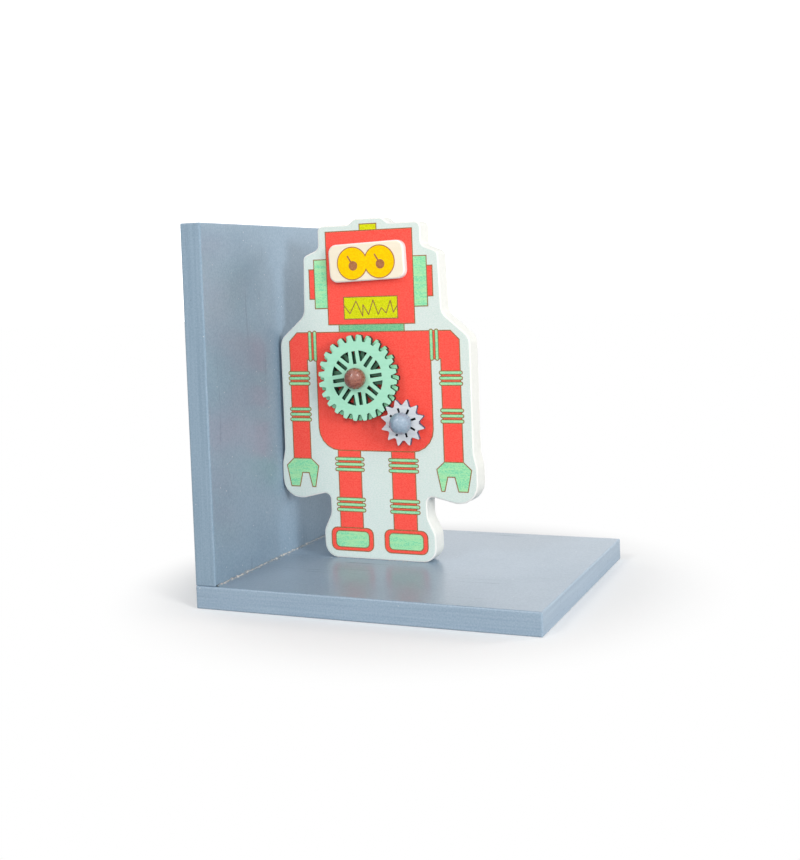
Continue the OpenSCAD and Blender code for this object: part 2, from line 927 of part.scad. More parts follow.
module spacer(at, t) {
    on_figure() translate([at.x, at.y, ink_face]) difference() {
        cylinder(h = t, d = spacer_d);
        translate([0, 0, -over]) cylinder(h = t + 2*over, d = peg_d + 2*peg_clear);
    }
}

module big_gear_peg() {
    color(peg_brown) peg(big_at, big_face + face_gap);
}

module small_gear_peg() {
    color(peg_grey) peg(small_at, small_face + face_gap);
}

module big_gear_spacer() {
    color(birch) spacer(big_at, spacer_t);
}

module small_gear_spacer() {
    color(birch) spacer(small_at, small_z - face_gap - ink_face);
}

base_panel();
upright_panel();
glue_bead();
upright_screws();
figure_screws();
figure_board();
face_sheet();
red_ink();
green_ink();
neck_ink();
yellow_ink();
line_ink();
eye_plate();
eye_gold_ink();
eye_brown_ink();
big_gear_front();
big_gear_back();
small_gear();
big_gear_peg();
small_gear_peg();
big_gear_spacer();
small_gear_spacer();
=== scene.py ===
"""Looks of a child's robot bookend: painted stand, printed cut-out robot, eye plate and turning gears.

Each sub-assembly is a class that builds its own meshes and dresses them. Metres, +Z up, the robot faces -Y.
"""

import logging
import math
import random
from contextlib import contextmanager
from dataclasses import dataclass, field
from enum import Enum
from typing import Iterator, Sequence, TypeAlias

import bpy
from mathutils import Matrix, Vector


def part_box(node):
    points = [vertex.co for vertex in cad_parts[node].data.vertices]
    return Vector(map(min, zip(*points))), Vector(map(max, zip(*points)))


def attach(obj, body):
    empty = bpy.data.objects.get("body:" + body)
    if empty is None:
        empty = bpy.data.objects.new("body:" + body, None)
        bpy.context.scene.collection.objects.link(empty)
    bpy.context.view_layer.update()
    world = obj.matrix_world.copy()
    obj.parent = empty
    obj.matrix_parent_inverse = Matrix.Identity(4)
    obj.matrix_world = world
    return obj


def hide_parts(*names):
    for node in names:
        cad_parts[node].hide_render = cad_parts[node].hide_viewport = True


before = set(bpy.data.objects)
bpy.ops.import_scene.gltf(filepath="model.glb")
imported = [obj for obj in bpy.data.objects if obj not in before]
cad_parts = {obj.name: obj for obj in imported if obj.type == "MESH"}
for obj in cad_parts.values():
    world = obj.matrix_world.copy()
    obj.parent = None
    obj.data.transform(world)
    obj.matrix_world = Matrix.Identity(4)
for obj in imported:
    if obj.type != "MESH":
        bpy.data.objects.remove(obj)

log = logging.getLogger("robot_bookend")

MM = 0.001
QUARTER_TURN = math.radians(90)
STAND_BODY = "bookend"
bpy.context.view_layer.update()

Colour: TypeAlias = tuple[float, float, float, float]
Point: TypeAlias = tuple[float, float, float]
Span: TypeAlias = tuple[float, float]
Value: TypeAlias = float | Sequence[float] | bpy.types.NodeSocket


def linear(code: str) -> Colour:
    """Turns a screen colour into the linear colour that a shader takes.

    Args:
        code: Screen colour as "#rrggbb".

    Returns:
        Linear red, green and blue, with full alpha.
    """
    toe_end = 0.04045
    toe_slope = 12.92
    lift = 0.055
    gamma = 2.4
    shares = [int(code[i : i + 2], 16) / 255 for i in (1, 3, 5)]
    red, green, blue = (s / toe_slope if s <= toe_end else ((s + lift) / (1 + lift)) ** gamma for s in shares)
    return (red, green, blue, 1.0)


class Direction(Enum):
    """The way that streaks run, as the share of detail along X, Y and Z."""

    ALONG_X = (0.06, 1.0, 1.0)
    ALONG_Y = (1.0, 0.06, 1.0)
    ALONG_Z = (1.0, 1.0, 0.06)
    ACROSS_X = (1.0, 0.02, 0.02)
    ACROSS_Z = (0.02, 0.02, 1.0)


# Modelling by hand


def select_only(piece: bpy.types.Object) -> None:
    """Deselects everything, then selects one object and makes it the active one."""
    bpy.ops.object.select_all(action="DESELECT")
    piece.select_set(True)
    bpy.context.view_layer.objects.active = piece


@contextmanager
def editing(piece: bpy.types.Object, pick: str = "VERT") -> Iterator[bpy.types.Mesh]:
    """Opens a piece in edit mode and closes it again.

    Args:
        piece: The object to edit.
        pick: Selection mode: VERT, EDGE or FACE.

    Returns:
        The mesh of the piece, for the length of the with block.
    """
    select_only(piece)
    bpy.ops.object.mode_set(mode="EDIT")
    bpy.ops.mesh.select_mode(type=pick)
    yield piece.data
    bpy.ops.object.mode_set(mode="OBJECT")


def settle(piece: bpy.types.Object) -> None:
    """Puts a piece's place, turn and scale into its mesh, so that its object sits at the origin."""
    select_only(piece)
    bpy.ops.object.transform_apply(location=True, rotation=True, scale=True)


def apply_modifier(piece: bpy.types.Object, modifier: bpy.types.Modifier) -> None:
    """Applies one modifier to its piece."""
    select_only(piece)
    bpy.ops.object.modifier_apply(modifier=modifier.name)


def copy_of_node(node: str, name: str) -> bpy.types.Object:
    """Starts a piece from a node's own mesh, merged into whole faces.

    Args:
        node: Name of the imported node.
        name: Name of the new piece.

    Returns:
        The new object, at the origin.
    """
    merge_reach = 0.002 * MM
    flat_angle = math.radians(0.5)
    piece = bpy.data.objects.new(name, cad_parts[node].data.copy())
    bpy.context.scene.collection.objects.link(piece)
    with editing(piece):
        bpy.ops.mesh.select_all(action="SELECT")
        bpy.ops.mesh.customdata_custom_splitnormals_clear()
        bpy.ops.mesh.remove_doubles(threshold=merge_reach)
        bpy.ops.mesh.dissolve_limited(angle_limit=flat_angle)
    return piece


def ease_edges(piece: bpy.types.Object, width: float, segments: int, from_angle: float) -> None:
    """Rounds the sharp edges of a piece and shades it smooth.

    Args:
        piece: The object to ease.
        width: Width of the rounding.
        segments: Steps across the rounding.
        from_angle: Edges sharper than this many degrees are rounded.
    """
    select_only(piece)
    bpy.ops.object.shade_smooth_by_angle(angle=math.radians(from_angle))
    bevel = piece.modifiers.new("ease", "BEVEL")
    bevel.width = width
    bevel.segments = segments
    bevel.limit_method = "ANGLE"
    bevel.angle_limit = math.radians(from_angle)
    bevel.use_clamp_overlap = False
    bevel.harden_normals = True
    apply_modifier(piece, bevel)


def dress(piece: bpy.types.Object, finish: bpy.types.Material) -> None:
    """Gives a piece one finish all over."""
    piece.data.materials.clear()
    piece.data.materials.append(finish)


def seat(piece: bpy.types.Object, body: str, node: str) -> None:
    """Lets a piece ride on a body and stand for a node.

    Args:
        piece: The finished piece.
        body: The body that it moves with.
        node: The node that it stands for.
    """
    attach(piece, body)
    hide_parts(node)
    log.info("%s rides on %s: %d faces", piece.name, body, len(piece.data.polygons))


# Node trees


class NodeSheet:
    """Short calls that fill one shader node tree."""

    def __init__(self, tree: bpy.types.NodeTree) -> None:
        """Keeps the tree that is filled."""
        self.tree = tree

    def add(self, kind: str, **settings: object) -> bpy.types.Node:
        """Adds a node.

        Args:
            kind: Type name of the node.
            settings: Properties of the node.

        Returns:
            The new node.
        """
        node = self.tree.nodes.new(kind)
        for name, value in settings.items():
            setattr(node, name, value)
        return node

    def put(self, socket: bpy.types.NodeSocket, value: Value) -> None:
        """Links a socket to another one, or sets it to a plain value."""
        if isinstance(value, bpy.types.NodeSocket):
            self.tree.links.new(value, socket)
        else:
            socket.default_value = value

    def place(self) -> bpy.types.NodeSocket:
        """Returns the piece's own coordinates, in metres."""
        return self.add("ShaderNodeTexCoord").outputs["Object"]

    def math(self, operation: str, a: Value, b: Value = 0.0, clamp: bool = False) -> bpy.types.NodeSocket:
        """Adds a sum of two values and returns its result."""
        node = self.add("ShaderNodeMath", operation=operation, use_clamp=clamp)
        self.put(node.inputs[0], a)
        self.put(node.inputs[1], b)
        return node.outputs[0]

    def vector(self, operation: str, a: Value, b: Value = (0.0, 0.0, 0.0)) -> bpy.types.NodeSocket:
        """Adds a sum of two vectors and returns its result."""
        node = self.add("ShaderNodeVectorMath", operation=operation)
        self.put(node.inputs[0], a)
        self.put(node.inputs[1], b)
        return node.outputs[0]

    def parts(self, vector: Value) -> tuple[bpy.types.NodeSocket, ...]:
        """Splits a vector into its three values."""
        node = self.add("ShaderNodeSeparateXYZ")
        self.put(node.inputs[0], vector)
        return tuple(node.outputs)

    def noise(
        self, vector: Value, scale: Value, detail: float = 3.0, rough: float = 0.55
    ) -> bpy.types.NodeSocket:
        """Adds a noise and returns its value."""
        node = self.add("ShaderNodeTexNoise")
        self.put(node.inputs["Vector"], vector)
        self.put(node.inputs["Scale"], scale)
        node.inputs["Detail"].default_value = detail
        node.inputs["Roughness"].default_value = rough
        return node.outputs[0]

    def span(self, value: Value, low: Value, high: Value) -> bpy.types.NodeSocket:
        """Returns a soft step that rises from 0 at low to 1 at high."""
        node = self.add("ShaderNodeMapRange", interpolation_type="SMOOTHSTEP")
        self.put(node.inputs["Value"], value)
        self.put(node.inputs["From Min"], low)
        self.put(node.inputs["From Max"], high)
        return node.outputs[0]

    def shift(self, value: Value, low: float, high: float) -> bpy.types.NodeSocket:
        """Returns a value of 0 to 1 stretched to run from low to high."""
        node = self.add("ShaderNodeMapRange")
        self.put(node.inputs["Value"], value)
        node.inputs["To Min"].default_value = low
        node.inputs["To Max"].default_value = high
        return node.outputs[0]

    def mix(self, factor: Value, a: Value, b: Value, blend: str = "MIX") -> bpy.types.NodeSocket:
        """Mixes two colours and returns the result."""
        node = self.add("ShaderNodeMix", data_type="RGBA", blend_type=blend)
        self.put(node.inputs[0], factor)
        self.put(node.inputs[6], a)
        self.put(node.inputs[7], b)
        return node.outputs[2]

    def glaze(self, colour: Value, mask: Value, share: float, tone: str) -> bpy.types.NodeSocket:
        """Lays a tone over a colour.

        Args:
            colour: The colour below.
            mask: Where the tone lies, from 0 to 1.
            share: How much it covers there.
            tone: Screen colour of the tone.

        Returns:
            The colour with the tone over it.
        """
        return self.mix(self.math("MULTIPLY", mask, share), colour, linear(tone))

    def blend(self, factor: Value, a: bpy.types.Node, b: bpy.types.Node) -> bpy.types.NodeSocket:
        """Mixes two shaders and returns the result."""
        node = self.add("ShaderNodeMixShader")
        self.put(node.inputs[0], factor)
        self.put(node.inputs[1], a.outputs[0])
        self.put(node.inputs[2], b.outputs[0])
        return node.outputs[0]

    def use(self, group: bpy.types.NodeTree, **values: Value) -> bpy.types.Node:
        """Places a node group.

        Args:
            group: The group's tree.
            values: Input values by name, with _ for a space.

        Returns:
            The group node.
        """
        node = self.add("ShaderNodeGroup", node_tree=group)
        for name, value in values.items():
            self.put(node.inputs[name.replace("_", " ")], value)
        return node

    def bump(self, height: Value, depth: float, strength: float = 0.5) -> bpy.types.NodeSocket:
        """Turns a height into a normal.

        Args:
            height: The height value.
            depth: Depth of the relief in metres.
            strength: Share of the relief that shows.

        Returns:
            The bent normal.
        """
        node = self.add("ShaderNodeBump")
        node.inputs["Strength"].default_value = strength
        node.inputs["Distance"].default_value = depth
        self.put(node.inputs["Height"], height)
        return node.outputs[0]


def new_group(name: str, inputs: dict[str, str], outputs: dict[str, str]) -> tuple[NodeSheet, dict, dict]:
    """Starts a shader node group.

    Args:
        name: Name of the group.
        inputs: Socket kind of each named input.
        outputs: Socket kind of each named output.

    Returns:
        The group's sheet, its inputs and its outputs by name.
    """
    tree = bpy.data.node_groups.new(name, "ShaderNodeTree")
    for socket, kind in inputs.items():
        tree.interface.new_socket(socket, in_out="INPUT", socket_type=kind)
    for socket, kind in outputs.items():
        tree.interface.new_socket(socket, in_out="OUTPUT", socket_type=kind)
    sheet = NodeSheet(tree)
    given = sheet.add("NodeGroupInput").outputs
    wanted = sheet.add("NodeGroupOutput").inputs
    return sheet, {n: given[n] for n in inputs}, {n: wanted[n] for n in outputs}


FLOAT = "NodeSocketFloat"
VECTOR = "NodeSocketVector"


class Effects:
    """The effects that several finishes share, each built once as a node group."""

    def __init__(self) -> None:
        """Builds all groups."""
        self.brushed = self.make_brushed()
        self.specks = self.make_specks()
        self.edges = self.make_edges()
        self.linen = self.make_linen()
        self.walls = self.make_walls()

    @staticmethod
    def make_brushed() -> bpy.types.NodeTree:
        """Brush streaks, cloudy patches and a fine skin, as on rolled or brushed paint."""
        sheet, given, wanted = new_group(
            "brushed_film",
            {"Stretch": VECTOR, "Streak Scale": FLOAT},
            {"Streak": FLOAT, "Cloud": FLOAT, "Skin": FLOAT, "Height": FLOAT},
        )
        cloud_scale = 28.0
        skin_scale = 1500.0
        skin_height = 0.5
        place = sheet.place()
        stretched = sheet.vector("MULTIPLY", place, given["Stretch"])
        streak = sheet.noise(stretched, given["Streak Scale"], detail=5.0, rough=0.6)
        skin = sheet.noise(place, skin_scale, detail=2.0)
        sheet.put(wanted["Streak"], streak)
        sheet.put(wanted["Cloud"], sheet.noise(place, cloud_scale, detail=3.0))
        sheet.put(wanted["Skin"], skin)
        sheet.put(wanted["Height"], sheet.math("ADD", streak, sheet.math("MULTIPLY", skin, skin_height)))
        return sheet.tree

    @staticmethod
    def make_specks() -> bpy.types.NodeTree:
        """Small scattered specks: one in each cell that is drawn, and none in the others."""
        sheet, given, wanted = new_group(
            "scattered_specks",
            {"Scale": FLOAT, "Share": FLOAT, "Size": FLOAT},
            {"Mask": FLOAT},
        )
        cells = sheet.add("ShaderNodeTexVoronoi")
        sheet.put(cells.inputs["Vector"], sheet.place())
        sheet.put(cells.inputs["Scale"], given["Scale"])
        drawn = sheet.math("LESS_THAN", sheet.parts(cells.outputs["Color"])[0], given["Share"])
        inside = sheet.math("LESS_THAN", cells.outputs["Distance"], given["Size"])
        sheet.put(wanted["Mask"], sheet.math("MULTIPLY", drawn, inside))
        return sheet.tree

    @staticmethod
    def make_edges() -> bpy.types.NodeTree:
        """Worn edges of a block, lighter as a painted highlight too: the mask is 1 near an edge, broken up by
        noise.
        """
        sheet, given, wanted = new_group(
            "worn_and_highlit_edges",
            {"Centre": VECTOR, "Half Size": VECTOR, "Reach": FLOAT},
            {"Wear And Highlight": FLOAT},
        )
        break_scale = 220.0
        break_from = 0.5
        break_full = 0.68
        place = sheet.place()
        from_middle = sheet.vector("ABSOLUTE", sheet.vector("SUBTRACT", place, given["Centre"]))
        x, y, z = sheet.parts(sheet.vector("SUBTRACT", from_middle, given["Half Size"]))
        low = sheet.math("MINIMUM", x, y)
        high = sheet.math("MAXIMUM", x, y)
        second = sheet.math("MAXIMUM", low, sheet.math("MINIMUM", high, z))
        start = sheet.math("MULTIPLY", given["Reach"], -1.0)
        edge = sheet.span(second, start, 0.0)
        broken = sheet.span(sheet.noise(place, break_scale, detail=4.0, rough=0.7), break_from, break_full)
        sheet.put(wanted["Wear And Highlight"], sheet.math("MULTIPLY", edge, broken))
        return sheet.tree

    @staticmethod
    def make_linen() -> bpy.types.NodeTree:
        """The fine tooth of the printed paper: grain, and soft blotches that flow along X."""
        sheet, given, wanted = new_group(
            "linen_tooth",
            {"Grain Scale": FLOAT},
            {"Tooth": FLOAT, "Blotch": FLOAT, "Height": FLOAT},
        )
        blotch_scale = 800.0
        blotch_flow = (0.15, 1.0, 1.0)
        grain_flow = (0.6, 1.0, 1.0)
        tooth_span = (0.36, 0.64)
        blotch_span = (0.4, 0.64)
        place = sheet.place()
        flowing = sheet.vector("MULTIPLY", place, blotch_flow)
        short = sheet.vector("MULTIPLY", place, grain_flow)
        grain = sheet.noise(short, given["Grain Scale"], detail=2.0, rough=0.7)
        blotch = sheet.noise(flowing, blotch_scale, detail=3.0, rough=0.65)
        sheet.put(wanted["Tooth"], sheet.span(grain, *tooth_span))
        sheet.put(wanted["Blotch"], sheet.span(blotch, *blotch_span))
        sheet.put(wanted["Height"], grain)
        return sheet.tree

    @staticmethod
    def make_walls() -> bpy.types.NodeTree:
        """Cut walls of a flat piece: the mask is 1 on faces that look sideways."""
        sheet, given, wanted = new_group("cut_walls", {"Turn": FLOAT}, {"Wall": FLOAT})
        blend = 0.18
        facing = sheet.parts(sheet.add("ShaderNodeNewGeometry").outputs["Normal"])[1]
        flat_from = sheet.math("ADD", given["Turn"], blend)
        flat = sheet.span(sheet.math("ABSOLUTE", facing), given["Turn"], flat_from)
        sheet.put(wanted["Wall"], sheet.math("SUBTRACT", 1.0, flat))
        return sheet.tree


effects = Effects()


def new_material(name: str) -> tuple[NodeSheet, bpy.types.Node, bpy.types.Material]:
    """Starts a material.

    Args:
        name: Name of the material.

    Returns:
        Its node sheet, its surface shader and the material.
    """
    material = bpy.data.materials.new(name)
    material.use_nodes = True
    sheet = NodeSheet(material.node_tree)
    shader = material.node_tree.nodes["Principled BSDF"]
    return sheet, shader, material


# Finishes


@dataclass(frozen=True)
class Specks:
    """Scattered specks: cells to the metre, share of cells that have one, and size against the cell."""

    scale: float
    share: float
    size: float

    def mask(self, sheet: NodeSheet) -> bpy.types.NodeSocket:
        """Returns the mask of the specks in a node sheet."""
        specks = sheet.use(effects.specks, Scale=self.scale, Share=self.share, Size=self.size)
        return specks.outputs["Mask"]


@dataclass(frozen=True)
class PanelPaint:
    """Satin paint: ridged on a panel's sawn edges, finely grained on its faces, with dust and scuffs, and
    lighter along its edges, partly wear and partly a painted highlight.
    """

    name: str
    centre: Point
    half_size: Point
    ridges: Direction
    scuffs: Direction
    deep: str
    light: str
    edge_wear_and_highlight: str = "#b0bdc9"
    dust: str = "#d5d8da"
    pit: str = "#5d6b78"
    dust_specks: Specks = Specks(scale=260.0, share=0.3, size=0.06)
    pit_specks: Specks = Specks(scale=240.0, share=0.12, size=0.06)
    ridge_scale: float = 900.0
    ridge_share: float = 0.45
    cloud_share: float = 0.07
    grain_share: float = 0.48
    tone_span: Span = (0.34, 0.66)
    scuff_scale: float = 420.0
    scuff_span: Span = (0.62, 0.74)
    scuff_share: float = 0.35
    edge_wear_and_highlight_reach: float = 0.8 * MM
    edge_wear_and_highlight_share: float = 0.2
    pit_share: float = 0.5
    dust_share: float = 0.7
    rough_span: Span = (0.26, 0.32)
    worn_dullness: float = 0.2
    relief: float = 0.02 * MM

    def tone(self, sheet: NodeSheet, film: bpy.types.Node) -> bpy.types.NodeSocket:
        """Returns the paint's tone: 0 where it is deep and 1 where it is light."""
        ridge = sheet.math("MULTIPLY", film.outputs["Streak"], self.ridge_share)
        cloud = sheet.math("MULTIPLY", film.outputs["Cloud"], self.cloud_share)
        grain = sheet.math("MULTIPLY", film.outputs["Skin"], self.grain_share)
        return sheet.span(sheet.math("ADD", sheet.math("ADD", ridge, cloud), grain), *self.tone_span)

    def material(self) -> bpy.types.Material:
        """Builds the paint."""
        sheet, shader, material = new_material(self.name)
        film = sheet.use(effects.brushed, Stretch=self.ridges.value, Streak_Scale=self.ridge_scale)
        edges = sheet.use(
            effects.edges, Centre=self.centre, Half_Size=self.half_size, Reach=self.edge_wear_and_highlight_reach
        )
        edge_wear_and_highlight = edges.outputs["Wear And Highlight"]
        drawn_out = sheet.vector("MULTIPLY", sheet.place(), self.scuffs.value)
        scuffs = sheet.span(sheet.noise(drawn_out, self.scuff_scale, detail=4.0, rough=0.6), *self.scuff_span)
        colour = sheet.mix(self.tone(sheet, film), linear(self.deep), linear(self.light))
        # Lighter edges: partly wear, partly a painted highlight along the edges.
        colour = sheet.glaze(colour, edge_wear_and_highlight, self.edge_wear_and_highlight_share, self.edge_wear_and_highlight)
        colour = sheet.glaze(colour, scuffs, self.scuff_share, self.pit)
        colour = sheet.glaze(colour, self.pit_specks.mask(sheet), self.pit_share, self.pit)
        colour = sheet.glaze(colour, self.dust_specks.mask(sheet), self.dust_share, self.dust)
        sheet.put(shader.inputs["Base Color"], colour)
        gloss = sheet.shift(film.outputs["Cloud"], *self.rough_span)
        worn = sheet.math("MULTIPLY", sheet.math("MAXIMUM", edge_wear_and_highlight, scuffs), self.worn_dullness)
        sheet.put(shader.inputs["Roughness"], sheet.math("ADD", gloss, worn, clamp=True))
        sheet.put(shader.inputs["Normal"], sheet.bump(film.outputs["Height"], self.relief))
        return material


@dataclass(frozen=True)
class Print:
    """One colour of the print: ink with the paper's tooth showing through, and soft blotches."""

    name: str
    ink: str
    thin: str
    blotch: str
    blotches: float = 0.4
    tooth: float = 0.8
    grain_scale: float = 2200.0
    rough_span: Span = (0.47, 0.65)
    relief: float = 0.03 * MM
    shine: float = 0.08

    def material(self) -> bpy.types.Material:
        """Builds the ink."""
        sheet, shader, material = new_material(self.name)
        linen = sheet.use(effects.linen, Grain_Scale=self.grain_scale)
        colour = sheet.glaze(linear(self.ink), linen.outputs["Blotch"], self.blotches, self.blotch)
        colour = sheet.glaze(colour, linen.outputs["Tooth"], self.tooth, self.thin)
        sheet.put(shader.inputs["Base Color"], colour)
        sheet.put(shader.inputs["Roughness"], sheet.shift(linen.outputs["Tooth"], *self.rough_span))
        sheet.put(shader.inputs["Normal"], sheet.bump(linen.outputs["Height"], self.relief))
        shader.inputs["Specular IOR Level"].default_value = self.shine
        return material


@dataclass(frozen=True)
class HubShade:
    """Painted shade round a gear's hub: a dark tone laid on all that lies near the axis and deep enough,
    standing in for the shade inside its windows and vents.
    """

    axis: Point
    radius: float
    deep_from: float
    painted_shade: str
    share: float

    def over(self, sheet: NodeSheet, colour: bpy.types.NodeSocket) -> bpy.types.NodeSocket:
        """Lays the painted shade over a colour.

        Args:
            sheet: Node sheet of the material.
            colour: The colour without the painted shade.

        Returns:
            The colour with painted shade round the hub.
        """
        place = sheet.place()
        flat = sheet.vector("MULTIPLY", sheet.vector("SUBTRACT", place, self.axis), (1.0, 0.0, 1.0))
        distance = sheet.add("ShaderNodeVectorMath", operation="LENGTH")
        sheet.put(distance.inputs[0], flat)
        near = sheet.math("LESS_THAN", distance.outputs["Value"], self.radius)
        deep = sheet.math("GREATER_THAN", sheet.parts(place)[1], self.deep_from)
        return sheet.glaze(colour, sheet.math("MULTIPLY", near, deep), self.share, self.painted_shade)


@dataclass(frozen=True)
class CutPaint:
    """Paint on a flat cut-out piece whose cut walls have another tone than its faces."""

    name: str
    face: str
    shade: str
    wall: str
    wall_shade: str
    roughness: float = 0.5
    streaks: Direction = Direction.ALONG_X
    streak_scale: float = 900.0
    tone_span: Span = (0.35, 0.7)
    rough_change: Span = (-0.08, 0.12)
    relief: float = 0.015 * MM
    turn: float = 0.5
    painted_shade: HubShade | None = None

    def material(self) -> bpy.types.Material:
        """Builds the paint."""
        sheet, shader, material = new_material(self.name)
        film = sheet.use(effects.brushed, Stretch=self.streaks.value, Streak_Scale=self.streak_scale)
        walls = sheet.use(effects.walls, Turn=self.turn)
        tone = sheet.span(film.outputs["Streak"], *self.tone_span)
        face = sheet.mix(tone, linear(self.face), linear(self.shade))
        wall = sheet.mix(tone, linear(self.wall), linear(self.wall_shade))
        colour = sheet.mix(walls.outputs["Wall"], face, wall)
        # Painted shade round a gear's hub, where one is given.
        if self.painted_shade:
            colour = self.painted_shade.over(sheet, colour)
        sheet.put(shader.inputs["Base Color"], colour)
        low, high = (self.roughness + change for change in self.rough_change)
        sheet.put(shader.inputs["Roughness"], sheet.shift(film.outputs["Streak"], low, high))
        sheet.put(shader.inputs["Normal"], sheet.bump(film.outputs["Height"], self.relief))
        return material


@dataclass(frozen=True)
class Lacquer:
    """Lacquer over a turned wooden ball, with faint grain under it."""

    name: str
    light: str
    deep: str
    roughness: float
    coat: float
    coat_roughness: float
    dent_depth: float = 0.3 * MM
    dent_scale: float = 520.0
    grain_scale: float = 1300.0
    grain_span: Span = (0.2, 0.8)
    grain_height: float = 0.06
    pit_specks: Specks = Specks(scale=1100.0, share=0.12, size=0.22)
    pit_share: float = 0.35
    rough_change: Span = (-0.05, 0.08)

    def material(self) -> bpy.types.Material:
        """Builds the lacquer."""
        sheet, shader, material = new_material(self.name)
        film = sheet.use(effects.brushed, Stretch=Direction.ALONG_Y.value, Streak_Scale=self.grain_scale)
        dents = sheet.noise(sheet.place(), self.dent_scale, detail=2.0, rough=0.6)
        tone = sheet.span(film.outputs["Streak"], *self.grain_span)
        colour = sheet.mix(tone, linear(self.light), linear(self.deep))
        colour = sheet.glaze(colour, self.pit_specks.mask(sheet), self.pit_share, self.deep)
        sheet.put(shader.inputs["Base Color"], colour)
        low, high = (self.roughness + change for change in self.rough_change)
        sheet.put(shader.inputs["Roughness"], sheet.shift(film.outputs["Streak"], low, high))
        relief = sheet.math("ADD", dents, sheet.math("MULTIPLY", film.outputs["Height"], self.grain_height))
        sheet.put(shader.inputs["Normal"], sheet.bump(relief, self.dent_depth, strength=1.0))
        shader.inputs["Coat Weight"].default_value = self.coat
        shader.inputs["Coat Roughness"].default_value = self.coat_roughness
        return material


@dataclass(frozen=True)
class DriedGlue:
    """Crumbly dried wood glue with paint dust in it."""

    name: str = "dried_glue"
    pale: str = "#cbc8c2"
    dusty: str = "#82909b"
    lump_scale: float = 700.0
    tone_span: Span = (0.42, 0.62)
    rough_span: Span = (0.4, 0.75)
    relief: float = 0.15 * MM
    relief_share: float = 0.7

    def material(self) -> bpy.types.Material:
        """Builds the glue."""
        sheet, shader, material = new_material(self.name)
        lumps = sheet.noise(sheet.place(), self.lump_scale, detail=4.0, rough=0.7)
        tone = sheet.span(lumps, *self.tone_span)
        sheet.put(shader.inputs["Base Color"], sheet.mix(tone, linear(self.dusty), linear(self.pale)))
        sheet.put(shader.inputs["Roughness"], sheet.shift(lumps, *self.rough_span))
        sheet.put(shader.inputs["Normal"], sheet.bump(lumps, self.relief, self.relief_share))
        return material


@dataclass(frozen=True)
class ZincSteel:
    """Zinc plated screw steel, with turning marks."""

    name: str = "zinc_steel"
    bright: str = "#c9cccf"
    dull: str = "#8e9296"
    mark_scale: float = 1500.0
    tone_span: Span = (0.35, 0.65)
    rough_span: Span = (0.28, 0.5)
    relief: float = 0.01 * MM

    def material(self) -> bpy.types.Material:
        """Builds the steel."""
        sheet, shader, material = new_material(self.name)
        film = sheet.use(effects.brushed, Stretch=Direction.ALONG_X.value, Streak_Scale=self.mark_scale)
        tone = sheet.span(film.outputs["Streak"], *self.tone_span)
        sheet.put(shader.inputs["Base Color"], sheet.mix(tone, linear(self.bright), linear(self.dull)))
        sheet.put(shader.inputs["Roughness"], sheet.shift(film.outputs["Cloud"], *self.rough_span))
        sheet.put(shader.inputs["Normal"], sheet.bump(film.outputs["Height"], self.relief))
        shader.inputs["Metallic"].default_value = 1.0
        return material


def dress_node(node: str, finish: bpy.types.Material) -> None:
    """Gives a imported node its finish."""
    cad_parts[node].material_slots[0].material = finish
    log.info("%s keeps its shape and takes %s", node, finish.name)


# Sub-assemblies


